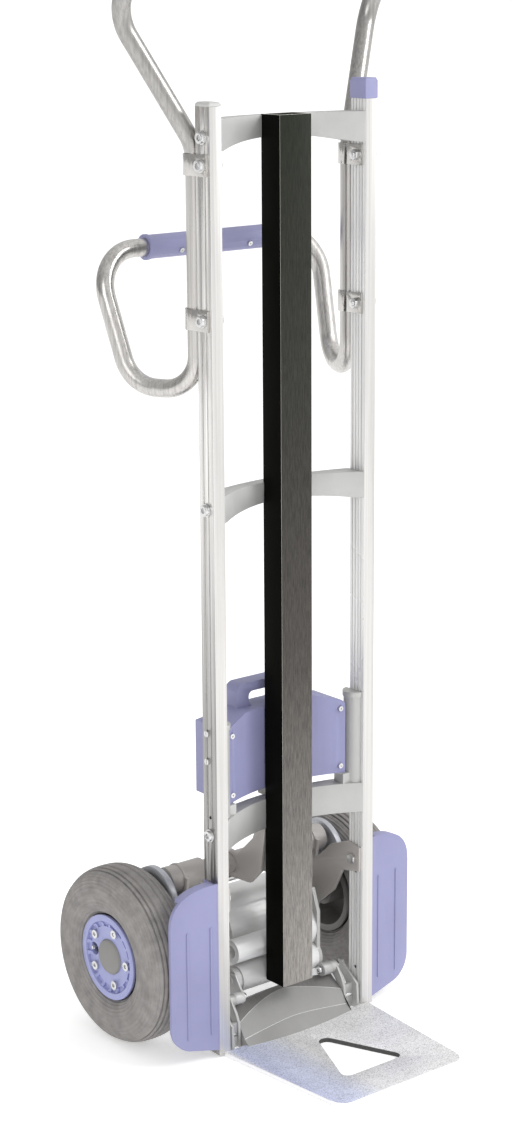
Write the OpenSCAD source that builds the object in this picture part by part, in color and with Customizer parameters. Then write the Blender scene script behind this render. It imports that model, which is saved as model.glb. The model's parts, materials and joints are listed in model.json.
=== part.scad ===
// Electric stair-climbing hand truck with a centre bar.
// Millimetres, +Z up, standing on its wheels and toe plate, load side towards -Y.

/* [Frame] */
// overall height of the two upright rails
upright_h = 1320; // [1100:10:1500]
// outside width across the two upright rails
frame_w = 286; // [240:2:340]
// width of one rail seen from the front
rail_w = 19; // [16:1:26]
// depth of one rail from front to back
rail_d = 30; // [24:1:40]
// how far the crossbars bow back at the middle
bow = 38; // [20:1:45]
// depth of the toe plate in front of the rails
toe_depth = 230; // [180:5:300]
// thickness of the toe plate
toe_t = 6.5; // [5:0.5:9]

/* [Centre bar] */
// width of the dark centre bar
bar_w = 54; // [40:1:70]
// wall thickness of the centre bar
bar_t = 2.5; // [1.5:0.5:4]
// height of its lower end above the floor
bar_low = 75; // [60:1:140]

/* [Handles] */
// outer diameter of the handle tube
tube_d = 25; // [22:0.5:30]
// wall thickness of the handle tube
tube_t = 2; // [1.5:0.25:3]
// length of each rubber hand grip
grip_l = 100; // [85:5:120]
// outer diameter of the blue sleeve on the cross handle
sleeve_d = 33; // [29:0.5:38]

/* [Wheels] */
// outer diameter of the main tyres
tyre_d = 258; // [240:2:270]
// width of the main tyres
tyre_w = 76; // [64:1:76]
// distance from the middle to the centre of a main tyre
track = 199; // [199:1:215]
// diameter of the main axle
axle_d = 20; // [16:1:22]
// diameter of the support wheels
support_d = 98; // [80:2:98]
// distance from the main axle to the support wheels
crank_r = 75; // [74:1:76]

/* [Battery] */
// width of the battery pack
battery_w = 213; // [190:1:213]
// height of the battery case without its handle
battery_h = 105; // [90:5:110]

/* [Hidden] */
$fn = 72;
front_y = -22;
half_w = frame_w / 2;
rail_in = half_w - rail_w;
tube_r = tube_d / 2;
tube_ri = tube_r - tube_t;
tyre_r = tyre_d / 2;
axle_y = 145;
axle_z = tyre_r;
axle_r = axle_d / 2;
bolt_y = 16;
bar_bolt_z = [328.5, 789, 1280.6];
clamp_z = [1043, 1245];
low_bar_z = 306;
bar_back_r = 373;
bar_front_r = (rail_in * rail_in + bow * bow) / (2 * bow);
run_fit = 0.06;

// handle route, right side, from the middle of the cross handle to the tip
loop_y = 187;
loop_z = 1123;
handle_pts = [[0, loop_y, loop_z], [196, loop_y, loop_z], [177, 134, 946],
    [133.4, 44.5, 946], [133.4, 44.5, 1268], [212, 98, 1430], [223.9, 25.4, 1590]];
handle_r = [0, 58, 52, 48, 70, 60, 0];

// gear train
gear_r = 35;
idler_r = 30;
pinion_r = 18;
idler_z = axle_z - 6;
idler_y = axle_y - sqrt(pow(gear_r + idler_r, 2) - 36);
motor_y = idler_y - 20;
motor_z = idler_z - sqrt(pow(idler_r + pinion_r, 2) - 400);
drum_y = 141;
drum_z = 123;
drum_r = 58;
case_x0 = 24;
case_x1 = 74;

support_y = axle_y - 15;
support_z = axle_z + sqrt(crank_r * crank_r - 225);
stay_y = 122;
stay_z = 229.5;

battery_z = 365;
battery_top = battery_z + battery_h;

blue = [0.33, 0.34, 0.66];
alu = [0.8, 0.8, 0.8];
cast = [0.72, 0.72, 0.71];
dark = [0.28, 0.26, 0.24];
steel = [0.6, 0.6, 0.62];
rubber = [0.2, 0.19, 0.18];

function unit(v) = v / norm(v);
function arc_pts(cx, cy, r, a0, a1, n) =
    [for (i = [0:n]) let (a = a0 + (a1 - a0) * i / n) [cx + r * cos(a), cy + r * sin(a)]];
function turn(a, b) = acos(unit(a) * unit(b));
function front_line(x) = bow * (1 - pow(x / rail_in, 2));

module placed() {
    translate([0, front_y, 0])
        children();
}

// children drawn on the right are mirrored to the left when s is -1
module side(s) {
    if (s < 0) mirror([1, 0, 0]) children();
    else children();
}

module both() {
    side(1) children();
    side(-1) children();
}

// cylinder along X from x0 to x1
module rod_x(r, x0, x1, y, z) {
    translate([x0, y, z])
        rotate([0, 90, 0])
            cylinder(r = r, h = x1 - x0);
}

// cylinder along Y from y0 to y1
module rod_y(r, y0, y1, x, z, fn = 72) {
    translate([x, y0, z])
        rotate([-90, 0, 0])
            cylinder(r = r, h = y1 - y0, $fn = fn);
}

// hexagon along X
module hex_x(r, x0, x1, y, z) {
    translate([x0, y, z])
        rotate([0, 90, 0])
            cylinder(r = r, h = x1 - x0, $fn = 6);
}

// profile drawn in Y and Z, extruded along X
module plate_x(x0, x1) {
    translate([x0, 0, 0])
        multmatrix([[0, 0, 1, 0], [1, 0, 0, 0], [0, 1, 0, 0], [0, 0, 0, 1]])
            linear_extrude(x1 - x0)
                children();
}

// profile drawn in X and Z, extruded along Y
module plate_y(y0, y1) {
    translate([0, y1, 0])
        rotate([90, 0, 0])
            linear_extrude(y1 - y0)
                children();
}

// frame whose Z runs along d
module along(p, d) {
    w = unit(d);
    t = abs(w[2]) > 0.9 ? [1, 0, 0] : [0, 0, 1];
    u = unit(cross(t, w));
    v = cross(w, u);
    multmatrix([[u[0], v[0], w[0], p[0]], [u[1], v[1], w[1], p[1]],
        [u[2], v[2], w[2], p[2]], [0, 0, 0, 1]])
        children();
}

module ring(ro, ri, h) {
    difference() {
        cylinder(r = ro, h = h);
        translate([0, 0, -1])
            cylinder(r = ri, h = h + 2);
    }
}

// stations along a route with rounded corners, each a point and a direction
function corner(p, a, b, r) = let (d1 = unit(a), d2 = unit(b), th = turn(a, b),
    c = p + unit(d2 - d1) * r / cos(th / 2), x = unit(p - d1 * r * tan(th / 2) - c),
    n = ceil(th / 9))
    [for (i = [0:n]) let (t = th * i / n)
        [c + r * (x * cos(t) + d1 * sin(t)), d1 * cos(t) - x * sin(t)]];
function stations(pts, rr) = let (n = len(pts)) concat(
    [[pts[0], unit(pts[1] - pts[0])]],
    [for (i = [1:n - 2]) each corner(pts[i], pts[i] - pts[i - 1], pts[i + 1] - pts[i], rr[i])],
    [[pts[n - 1], unit(pts[n - 1] - pts[n - 2])]]);
function ring_pts(s, r, n) = let (w = s[1], u = unit(cross([0.8, -0.6, 0], w)), v = cross(w, u))
    [for (k = [0:n - 1]) s[0] + r * (u * cos(360 * k / n) + v * sin(360 * k / n))];

// hollow bent tube swept along the route pts, with bend radii rr
module bent_tube(pts, rr, ro, ri, n = 18) {
    st = stations(pts, rr);
    m = len(st);
    verts = [for (s = st) each concat(ring_pts(s, ro, n), ring_pts(s, ri, n))];
    outer = [for (i = [0:m - 2]) for (k = [0:n - 1])
        let (a = 2 * n * i + k, b = 2 * n * i + (k + 1) % n)
        each [[a, b, b + 2 * n], [a, b + 2 * n, a + 2 * n]]];
    inner = [for (f = outer) [f[2] + n, f[1] + n, f[0] + n]];
    ends = [for (k = [0:n - 1]) let (q = (k + 1) % n, e = 2 * n * (m - 1))
        each [[k, k + n, q + n, q], [e + k, e + q, e + q + n, e + k + n]]];
    polyhedron(points = verts, faces = [for (f = concat(outer, inner, ends))
        [for (j = [len(f) - 1:-1:0]) f[j]]]);
}

module upright() {
    difference() {
        translate([rail_in, 0, 4])
            linear_extrude(upright_h - 4)
                difference() {
                    square([rail_w, rail_d]);
                    translate([3, 3])
                        square([rail_w - 6, rail_d - 6]);
                    for (k = [0:3])
                        translate([-1, 5 + k * 6])
                            square([1.8, 2.4]);
                    for (k = [0:1])
                        translate([rail_w - 0.8, 9 + k * 9.6])
                            square([2, 2.4]);
                }
        for (z = bar_bolt_z)
            rod_x(4.1, rail_in - 1, half_w + 1, bolt_y, z);
        for (z = clamp_z)
            rod_x(4.1, rail_in - 1, half_w + 1, bolt_y, z);
        for (z = [231, 20])
            rod_x(4.1, rail_in - 1, half_w + 1, bolt_y, z);
        for (z = [435, 475])
            rod_x(2.6, rail_in - 1, half_w + 1, bolt_y + 4, z);
        for (z = [60, 210])
            rod_x(2.6, rail_in - 1, half_w + 1, bolt_y, z);
        rod_x(2.5, half_w - 4, half_w + 1, 15, 355);
    }
}

module left_upright() {
    color(alu) placed() side(-1) upright();
}

module right_upright() {
    color(alu) placed() upright();
}

module left_end_cap() {
    color(cast) placed() side(-1) {
        translate([rail_in + 3.2, 3.2, upright_h - 14])
            cube([rail_w - 6.4, rail_d - 6.4, 15]);
        hull() {
            translate([rail_in - 0.5, -0.5, upright_h])
                cube([rail_w + 1, rail_d + 1, 3]);
            translate([rail_in + 2, 2, upright_h + 4])
                cube([rail_w - 4, rail_d - 4, 2]);
        }
    }
}

module right_end_cap() {
    color(blue) placed() {
        translate([rail_in + 3.2, 3.2, upright_h - 14])
            cube([rail_w - 6.4, rail_d - 6.4, 15]);
        hull() {
            translate([rail_in - 1.5, -1.5, upright_h])
                cube([rail_w + 3, rail_d + 3, 23]);
            translate([rail_in, 0, upright_h + 25])
                cube([rail_w, rail_d, 2.5]);
        }
    }
}

module bow_plan(x_end) {
    difference() {
        intersection() {
            translate([-x_end, -1])
                square([2 * x_end, 70]);
            translate([0, 55.5 - bar_back_r])
                circle(r = bar_back_r, $fn = 200);
        }
        translate([0, bow - bar_front_r])
            circle(r = bar_front_r, $fn = 200);
    }
}

module crossbar(z0, z1, rise) {
    arch_r = rise > 0 ? (115 * 115 + rise * rise) / (2 * rise) : 0;
    difference() {
        translate([0, 0, z0])
            linear_extrude(z1 - z0)
                bow_plan(rail_in);
        if (rise > 0)
            rod_y(arch_r, -10, 80, 0, z0 + rise - arch_r, 720);
        rod_y(3.1, 0, 80, 0, z1 - 22);
        translate([-bar_w / 2 - 0.2, -2, z0 - 1])
            cube([bar_w + 0.4, bow + 2, z1 - z0 + 2]);
    }
}

module bar_end_holes(z) {
    both() rod_x(4.1, rail_in - 17, rail_in + 1, bolt_y, z);
}

module top_crossbar() {
    color(cast) placed() difference() {
        crossbar(1263, 1303.5, 12);
        bar_end_holes(bar_bolt_z[2]);
    }
}

module middle_crossbar() {
    color(cast) placed() difference() {
        crossbar(771, 808, 9);
        bar_end_holes(bar_bolt_z[1]);
    }
}

module lower_crossbar() {
    color(cast) placed() difference() {
        crossbar(low_bar_z, 350, 0);
        bar_end_holes(bar_bolt_z[0]);
        translate([-110, 46, low_bar_z + 5])
            cube([75, 3, 34]);
        translate([60, 46, low_bar_z + 5])
            cube([50, 3, 34]);
    }
}

// button-head bolt pointing inwards, seated on the face x
module side_bolt(x, len, z, r = 4, head = 7.5) {
    rod_x(r, x - len, x, bolt_y, z);
    rod_x(head + 1.5, x, x + 1.5, bolt_y, z);
    difference() {
        rod_x(head, x + 1.5, x + 6, bolt_y, z);
        hex_x(r, x + 3, x + 7, bolt_y, z);
    }
}

module crossbar_bolts() {
    color(steel) placed() both()
        for (z = bar_bolt_z)
            side_bolt(half_w, rail_w + 16, z);
}

module centre_bar() {
    color(dark) placed() difference() {
        translate([-bar_w / 2, -1, bar_low])
            cube([bar_w, bow + 1, 1305 - bar_low]);
        translate([-bar_w / 2 + bar_t, -1 + bar_t, bar_low - 1])
            cube([bar_w - 2 * bar_t, bow + 1 - 2 * bar_t, 1307 - bar_low]);
        for (z = [328, 786, 1281.5])
            rod_y(3.1, bow - 5, bow + 5, 0, z);
    }
}

module centre_bar_screws() {
    color(steel) placed()
        for (z = [328, 786, 1281.5]) {
            rod_y(3, bow - bar_t, 55.5, 0, z);
            difference() {
                rod_y(6, 55.5, 59.5, 0, z);
                translate([-0.8, 57.5, z - 7])
                    cube([1.6, 3, 14]);
            }
            rod_y(5, bow - bar_t - 4, bow - bar_t, 0, z);
        }
}

module handle_tube() {
    bent_tube(handle_pts, handle_r, tube_r, tube_ri);
}

module left_handle_tube() {
    color(alu) placed() side(-1) handle_tube();
}

module right_handle_tube() {
    color(alu) placed() handle_tube();
}

module grip_sleeve() {
    color(blue) placed() difference() {
        union() {
            rod_x(sleeve_d / 2, -112, 112, loop_y, loop_z);
            both() rod_x(sleeve_d / 2 + 1.2, 108, 112, loop_y, loop_z);
        }
        rod_x(tube_r, -113, 113, loop_y, loop_z);
        for (x = [-60, 60])
            translate([x, loop_y, loop_z])
                rotate([22, 0, 0]) {
                    rod_y(2.1, -30, -5, 0, 0);
                    rod_y(3.8, -30, -sleeve_d / 2 + 0.6, 0, 0);
                }
    }
}

module sleeve_screws() {
    color(steel) placed()
        for (x = [-60, 60])
            translate([x, loop_y, loop_z])
                rotate([22, 0, 0]) {
                    rod_y(2, -sleeve_d / 2, -tube_r, 0, 0);
                    difference() {
                        rod_y(3.6, -sleeve_d / 2 - 1.8, -sleeve_d / 2 + 0.6, 0, 0);
                        rod_y(1.5, -sleeve_d / 2 - 3, -sleeve_d / 2 - 0.8, 0, 0);
                    }
                }
}

tip = handle_pts[6];
tip_d = unit(handle_pts[6] - handle_pts[5]);

module hand_grip() {
    along(tip - tip_d * (grip_l - 3), tip_d)
        difference() {
            union() {
                cylinder(r = 16, h = grip_l);
                cylinder(r = 19, h = 4);
                translate([0, 0, grip_l - 4])
                    cylinder(r = 17, h = 4);
                for (k = [1:7])
                    translate([0, 0, k * 11.5])
                        cylinder(r = 17, h = 5);
            }
            translate([0, 0, -1])
                cylinder(r = tube_r, h = grip_l - 2);
        }
}

module left_hand_grip() {
    color(rubber) placed() side(-1) hand_grip();
}

module right_hand_grip() {
    color(rubber) placed() hand_grip();
}

module tube_clamps() {
    color(alu) placed() both()
        for (z = clamp_z)
            translate([0, 0, z - 14])
                difference() {
                    linear_extrude(28)
                        difference() {
                            union() {
                                translate([133.4, 44.5])
                                    circle(r = tube_r + 3);
                                translate([rail_in - 3, 5])
                                    square([3, 36]);
                                translate([half_w, 5])
                                    square([3, 36]);
                            }
                            translate([133.4, 44.5])
                                circle(r = tube_r);
                            translate([rail_in, -1])
                                square([rail_w, 37]);
                        }
                    rod_x(4.1, rail_in - 5, half_w + 5, bolt_y, 14);
                    translate([133.4, 44.5, 16])
                        cylinder(r1 = tube_r, r2 = tube_r + 1.1, h = 12.5);
                }
}

module clamp_bolts() {
    color(steel) placed() both()
        for (z = clamp_z) {
            side_bolt(half_w + 3, rail_w + 15, z, 4, 7.5);
            difference() {
                hex_x(7.5, rail_in - 9.5, rail_in - 3, bolt_y, z);
                rod_x(4, rail_in - 12, rail_in, bolt_y, z);
            }
        }
}

// switch unit on the right handle, just below the grip
sw_base = tip - tip_d * (grip_l + 42);

module switch_housing() {
    color(rubber) placed() along(sw_base, tip_d)
        difference() {
            union() {
                cylinder(r = 18, h = 42);
                translate([-18, -34, 0])
                    cube([36, 34, 42]);
            }
            translate([0, 0, -1])
                cylinder(r = tube_r, h = 44);
            translate([-9, -35, 6])
                cube([18, 17, 16]);
            translate([0, -34, 32])
                rotate([90, 0, 0])
                    translate([0, 0, -12])
                        cylinder(r = 6, h = 13);
        }
}

module rocker_switch() {
    color([0.5, 0.08, 0.06]) placed() along(sw_base, tip_d)
        translate([0, -28, 14])
            difference() {
                union() {
                    rotate([0, 90, 0])
                        translate([0, 0, -8])
                            cylinder(r = 5, h = 16);
                    translate([-8, -9.5, -6])
                        cube([16, 9.5, 12]);
                }
                translate([-9, -16, 0])
                    rotate([0, 90, 0])
                        cylinder(r = 8, h = 18);
            }
}

module power_button() {
    color([0.1, 0.45, 0.15]) placed() along(sw_base, tip_d)
        translate([0, -34, 32])
            rotate([90, 0, 0])
                translate([0, 0, -6])
                    cylinder(r = 5.4, h = 9);
}

module toe_outline() {
    w0 = 134;
    w1 = 115;
    r = 20;
    polygon(concat(
        [[-w0, 0], [-w1 - 1.6, -toe_depth + r + 2]],
        arc_pts(-w1 + r, -toe_depth + r, r, 184, 270, 10),
        arc_pts(w1 - r, -toe_depth + r, r, 270, 356, 10),
        [[w1 + 1.6, -toe_depth + r + 2], [w0, 0]]));
}

module toe_window() {
    polygon(concat(
        arc_pts(0, -66, 12, 22, 158, 8),
        arc_pts(-42, -158, 10, 158, 270, 8),
        arc_pts(42, -158, 10, 270, 382, 8)));
}

// section of the sloped heel of the toe plate at x
function heel_front(x) = -16 + 15 * pow(x / rail_in, 2);
function heel_top(x) = 56.8 - 0.24 * sqrt(x * x + 400);
function heel_back(x) = 55.5 - bar_back_r + sqrt(bar_back_r * bar_back_r - x * x);
function fold_y(x) = front_line(x) * 0.42 + heel_front(x) * 0.58;
function fold_z(x) = heel_top(x) * 0.42;
function heel_toe(x) = heel_front(x)
    - (fold_y(x) - heel_front(x)) * (toe_t - 0.4) / (fold_z(x) - toe_t);
function heel(x) = [[x, heel_toe(x), 0.4], [x, fold_y(x), fold_z(x)],
    [x, front_line(x), heel_top(x)], [x, heel_back(x) - 3, 50],
    [x, heel_back(x), 49.5], [x, heel_back(x), 0.4]];
heel_n = 24;
heel_x = 96;
heel_p = 6;

module toe_heel() {
    xs = [for (i = [0:heel_n]) -heel_x + 2 * heel_x * i / heel_n];
    pts = [for (x = xs) each heel(x)];
    sides = [for (i = [0:heel_n - 1]) for (j = [0:heel_p - 1])
        let (k = (j + 1) % heel_p)
        each [[i * heel_p + j, i * heel_p + k, (i + 1) * heel_p + k],
            [i * heel_p + j, (i + 1) * heel_p + k, (i + 1) * heel_p + j]]];
    end0 = [[for (j = [0:heel_p - 1]) heel_p - 1 - j]];
    end1 = [[for (j = [0:heel_p - 1]) heel_n * heel_p + j]];
    polyhedron(points = pts, faces = concat(sides, end0, end1));
}

module toe_plate() {
    color(cast) placed() difference() {
        union() {
            difference() {
                linear_extrude(toe_t)
                    difference() {
                        toe_outline();
                        toe_window();
                    }
                translate([-160, -toe_depth - 6, toe_t - 2.2])
                    rotate([-75, 0, 0])
                        translate([0, -30, -4])
                            cube([320, 30, 8]);
            }
            toe_heel();
        }
        both() rod_x(4.1, rail_in - 43, rail_in + 1, bolt_y, 20);
    }
}

module toe_plate_bolts() {
    color(steel) placed() both() {
        rod_x(4, rail_in - 42, half_w, bolt_y, 20);
        difference() {
            rod_x(7, half_w, half_w + 4, bolt_y, 20);
            hex_x(3.5, half_w + 2, half_w + 5, bolt_y, 20);
        }
    }
}

function guard_line(i) = concat([[i, 13 + i]],
    arc_pts(77 - 38, 60, 38 - i, 285, 360, 10),
    [for (k = [0:14]) [(77 - i) * pow(cos(k * 6), 0.8),
        206 + (56 - i) * pow(sin(k * 6), 0.8)]],
    [[i, 262 - i]]);

module wheel_guard() {
    tilt = 6.3;
    translate([half_w + 0.4, 0, 0])
        rotate([0, 0, tilt]) {
            plate_y(0, 3)
                polygon(guard_line(0));
            plate_y(3, 6)
                difference() {
                    polygon(guard_line(0));
                    polygon(guard_line(3));
                    square([6, 300]);
                }
            plate_y(6, 16)
                intersection() {
                    difference() {
                        polygon(guard_line(0));
                        polygon(guard_line(3));
                        square([6, 300]);
                    }
                    translate([0, 232])
                        square([60, 60]);
                }
            for (u = [11, 49])
                translate([u, -1.4, 40])
                    cube([2.6, 2, 160]);
        }
    difference() {
        translate([half_w, 0, 14])
            cube([2.5, rail_d, 246]);
        for (z = [60, 210])
            rod_x(2.6, half_w - 1, half_w + 5, bolt_y, z);
        rod_x(7.5, half_w - 1, half_w + 5, bolt_y, 20);
        rod_x(9.5, half_w - 1, half_w + 5, bolt_y, 231);
    }
}

module left_wheel_guard() {
    color(blue) placed() side(-1) wheel_guard();
}

module right_wheel_guard() {
    color(blue) placed() wheel_guard();
}

module guard_screws() {
    color(steel) placed() both()
        for (z = [60, 210]) {
            rod_x(2.5, half_w - 6, half_w + 2.5, bolt_y, z);
            difference() {
                rod_x(5, half_w + 2.5, half_w + 4.3, bolt_y, z);
                translate([half_w + 3.6, bolt_y - 0.6, z - 6])
                    cube([2, 1.2, 12]);
            }
        }
}

module battery_guide() {
    difference() {
        union() {
            intersection() {
                translate([rail_in, 20, 350])
                    cylinder(r = 15.5, h = 132);
                translate([rail_in - 20, 0, 350])
                    cube([20, 40, 132]);
            }
            intersection() {
                translate([rail_in, 20, 478])
                    cylinder(r = 17, h = 8);
                translate([rail_in - 20, 0, 478])
                    cube([20, 40, 8]);
            }
            translate([rail_in - 26, 14, 350])
                cube([26, 20, battery_z - 350]);
        }
        for (z = [435, 475])
            rod_x(2.6, rail_in - 8, rail_in + 1, bolt_y + 4, z);
    }
}

module left_battery_guide() {
    color(cast) placed() side(-1) battery_guide();
}

module right_battery_guide() {
    color(cast) placed() battery_guide();
}

module guide_screws() {
    color(steel) placed() both()
        for (z = [435, 475]) {
            rod_x(2.5, rail_in - 7, half_w, bolt_y + 4, z);
            difference() {
                rod_x(4.5, half_w, half_w + 2.2, bolt_y + 4, z);
                translate([half_w + 1.2, bolt_y + 3.4, z - 5])
                    cube([2, 1.2, 10]);
            }
        }
}

module battery_dock() {
    color(dark) placed() difference() {
        translate([6, 46, 336])
            cube([46, 50, battery_z - 336]);
        translate([0, 55.5 - bar_back_r, 300])
            cylinder(r = bar_back_r, h = 60, $fn = 200);
        for (x = [16, 36])
            translate([x, 68, battery_z - 8])
                cube([6, 18, 10]);
    }
}

module battery_plan(x_end) {
    intersection() {
        difference() {
            translate([-x_end, 19])
                square([2 * x_end, 89]);
            translate([0, 42 - 250])
                circle(r = 250, $fn = 200);
        }
        translate([0, 108 - 420])
            circle(r = 420, $fn = 200);
    }
}

module battery_handle_shape() {
    difference() {
        polygon(concat(arc_pts(50, 508, 12, 0, 90, 6), arc_pts(-50, 508, 12, 90, 180, 6),
            [[-62, 468], [62, 468]]));
        polygon(concat(arc_pts(34, 500, 7, 0, 90, 6), arc_pts(-34, 500, 7, 90, 180, 6),
            arc_pts(-34, 493, 7, 180, 270, 6), arc_pts(34, 493, 7, 270, 360, 6)));
    }
}

module battery_case() {
    hw = battery_w / 2;
    color(blue) placed() difference() {
        union() {
            translate([0, 0, battery_z])
                linear_extrude(battery_h)
                    battery_plan(hw);
            intersection() {
                translate([0, 0, battery_top])
                    linear_extrude(30)
                        battery_plan(hw);
                plate_y(0, 82)
                    polygon([[-hw, battery_top], [-hw + 6, battery_top + 5],
                        [-62, battery_top + 16], [62, battery_top + 16],
                        [hw - 6, battery_top + 5], [hw, battery_top]]);
            }
            plate_y(56, 82)
                battery_handle_shape();
        }
        translate([-hw + 3, 48, battery_z + 3])
            cube([2 * hw - 6, 43.5, battery_h - 8]);
        for (x = [15.5, 35.5])
            translate([x, 66, battery_z - 1])
                cube([7, 22, 5]);
        both() {
            for (z = [376, 462]) {
                rod_y(2.6, 0, 34, 99, z);
                rod_y(4, 0, 24, 99, z);
            }
        }
        translate([-8.5, 96, 440])
            cube([17, 20, 16]);
    }
}

module battery_cells() {
    color([0.25, 0.5, 0.35]) placed()
        for (i = [-3:3])
            for (j = [0:1])
                translate([i * 28, 59 + j * 21.6, battery_z + 3])
                    cylinder(r = 10.5, h = battery_h - 14);
}

module battery_screws() {
    color([0.95, 0.95, 0.95]) placed() both()
        for (z = [376, 462])
            difference() {
                union() {
                    rod_y(2.5, 23, 33, 99, z);
                    rod_y(3.8, 19.5, 24, 99, z);
                }
                rod_y(1.5, 18, 21, 99, z);
            }
}

module battery_release() {
    color(dark) placed() translate([-8, 99, 440.5])
        cube([16, 12, 15]);
}

// gear case body between x0 and x1
module case_body(x0, x1) {
    rod_x(drum_r, x0, x1, drum_y, drum_z);
    rod_x(idler_r + 6, x0, x1, idler_y, idler_z);
    rod_x(pinion_r + 4, x0, x1, motor_y, motor_z);
    plate_x(x0, x1)
        polygon([[idler_y - 10, idler_z + 32], [drum_y - 25, drum_z + 50],
            [drum_y - 25, drum_z - 50], [motor_y + 8, motor_z - 21]]);
}

module housing_shell() {
    difference() {
        union() {
            rod_x(drum_r, -52, case_x0 + 2, drum_y, drum_z);
            rod_x(drum_r - 8, -56, -50, drum_y, drum_z);
            case_body(case_x0, case_x1);
            rod_x(17.7, -72, 24, 62, 121);
        }
        rod_x(drum_r - 5, -47, case_x0 - 4, drum_y, drum_z);
        rod_x(gear_r + 3, case_x0 + 6, case_x1 + 1, axle_y, axle_z);
        rod_x(idler_r + 2, case_x0 + 6, case_x1 + 1, idler_y, idler_z);
        rod_x(pinion_r + 2, case_x0 + 6, case_x1 + 1, motor_y, motor_z);
        rod_x(axle_r, -60, case_x0 + 10, axle_y, axle_z);
        rod_x(6.5, case_x0 - 10, case_x0 + 10, motor_y, motor_z);
        rod_x(9, -73, -60, 62, 121);
        for (a = [30, 150, 270])
            rod_x(2.6, -60, -50, drum_y + 40 * cos(a), drum_z + 40 * sin(a));
    }
}

module gearbox_housing() {
    color(cast) placed() {
        housing_shell();
        rod_x(5, case_x0 + 5, case_x1, idler_y, idler_z);
    }
}

module gearbox_cover() {
    color(cast) placed() difference() {
        union() {
            case_body(case_x1, case_x1 + 6);
            plate_x(case_x1, case_x1 + 6)
                polygon([[44, 60], [44, 150], [56, 184], [90, 184], [90, 60]]);
            rod_x(10, case_x1, case_x1 + 16, 36, 62);
        }
        rod_x(17.6, case_x1 - 1, case_x1 + 10, axle_y, axle_z);
        rod_x(4.1, case_x1 - 2, case_x1 + 20, 36, 62);
        for (a = [20, 80, 140, 270])
            rod_x(2.6, case_x1 - 1, case_x1 + 10, drum_y + 52 * cos(a), drum_z + 52 * sin(a));
    }
}

module gearbox_screws() {
    color(steel) placed() {
        for (a = [20, 80, 140, 270]) {
            rod_x(2.5, case_x1, case_x1 + 6, drum_y + 52 * cos(a), drum_z + 52 * sin(a));
            rod_x(4.5, case_x1 + 6, case_x1 + 9, drum_y + 52 * cos(a), drum_z + 52 * sin(a));
        }
        for (a = [30, 150, 270]) {
            rod_x(2.5, -56, -52, drum_y + 40 * cos(a), drum_z + 40 * sin(a));
            rod_x(4.5, -59, -56, drum_y + 40 * cos(a), drum_z + 40 * sin(a));
        }
    }
}

module motor_casing() {
    color(dark) placed() difference() {
        union() {
            rod_x(20, -66, case_x0, motor_y, motor_z);
            rod_x(17, -75, -66, motor_y, motor_z);
            rod_x(8, -79, -76, motor_y, motor_z);
            plate_x(-77, -74)
                polygon([[28, 60], [32, 70], [48, 92], [72, 90], [74, 68], [44, 52],
                    [32, 53]]);
            rod_x(9, -90, -74, 36, 62);
        }
        rod_x(15.5, -62, case_x0 - 4, motor_y, motor_z);
        rod_x(6.5, case_x0 - 6, case_x0 + 1, motor_y, motor_z);
        hex_x(4, -80, -77, motor_y, motor_z);
        rod_x(4.1, -91, -73, 36, 62);
    }
}

// toothed disc along X, its teeth cut back just inside the pitch circle
module gear_x(r, teeth, x0, x1, y, z) {
    translate([x0, y, z])
        rotate([0, 90, 0])
            difference() {
                cylinder(r = r - 0.35, h = x1 - x0);
                for (k = [0:teeth - 1])
                    rotate([0, 0, k * 360 / teeth])
                        translate([r, 0, -1])
                            cylinder(r = 1.5, h = x1 - x0 + 2);
            }
}

module motor_shaft() {
    color(steel) placed() {
        rod_x(6, -58, 33, motor_y, motor_z);
        gear_x(pinion_r, 18, 33, 52, motor_y, motor_z);
        rod_x(14, -56, case_x0 - 8, motor_y, motor_z);
    }
}

module idler_gear() {
    color(steel) placed() difference() {
        union() {
            gear_x(idler_r, 30, 34, 51, idler_y, idler_z);
            rod_x(9, 31, 54, idler_y, idler_z);
        }
        rod_x(5 + run_fit, 28, 56, idler_y, idler_z);
    }
}

module stay_tube() {
    color(dark) placed() difference() {
        union() {
            rod_x(15, -half_w, half_w, stay_y, stay_z);
            both() rod_x(20, 80, half_w, stay_y, stay_z);
        }
        rod_x(12, -half_w - 1, half_w + 1, stay_y, stay_z);
    }
}

module stay_hangers() {
    color(dark) placed()
        for (s = [-1, 1])
            side(s)
                difference() {
                    plate_x(21, 27)
                        union() {
                            polygon([[39, low_bar_z], [58, low_bar_z], [68, 282],
                                [112, 240], [122, 208], [74, 212], [50, 236]]);
                            translate([stay_y, stay_z])
                                circle(r = 20);
                        }
                    rod_x(15, 20, 28, stay_y, stay_z);
                }
}

module axle_bracket() {
    difference() {
        union() {
            plate_x(rail_in - 5, rail_in)
                union() {
                    polygon([[3, 214], [3, 250], [28, 254], [66, 239], [160, 150],
                        [128, 110], [60, 168], [40, 206]]);
                    translate([axle_y, axle_z])
                        circle(r = 26);
                    polygon([[104, 186], [142, 226], [122, 240], [96, 236]]);
                    translate([stay_y, stay_z])
                        circle(r = 21.5);
                }
            rod_x(25, rail_in - 12, rail_in - 4, axle_y, axle_z);
        }
        rod_x(17 + run_fit, rail_in - 14, rail_in + 1, axle_y, axle_z);
        rod_x(20, rail_in - 14, rail_in + 1, stay_y, stay_z);
        rod_x(4.1, rail_in - 14, rail_in + 1, bolt_y, 231);
    }
}

module left_axle_bracket() {
    color(dark) placed() side(-1) axle_bracket();
}

module right_axle_bracket() {
    color(dark) placed() axle_bracket();
}

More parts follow.
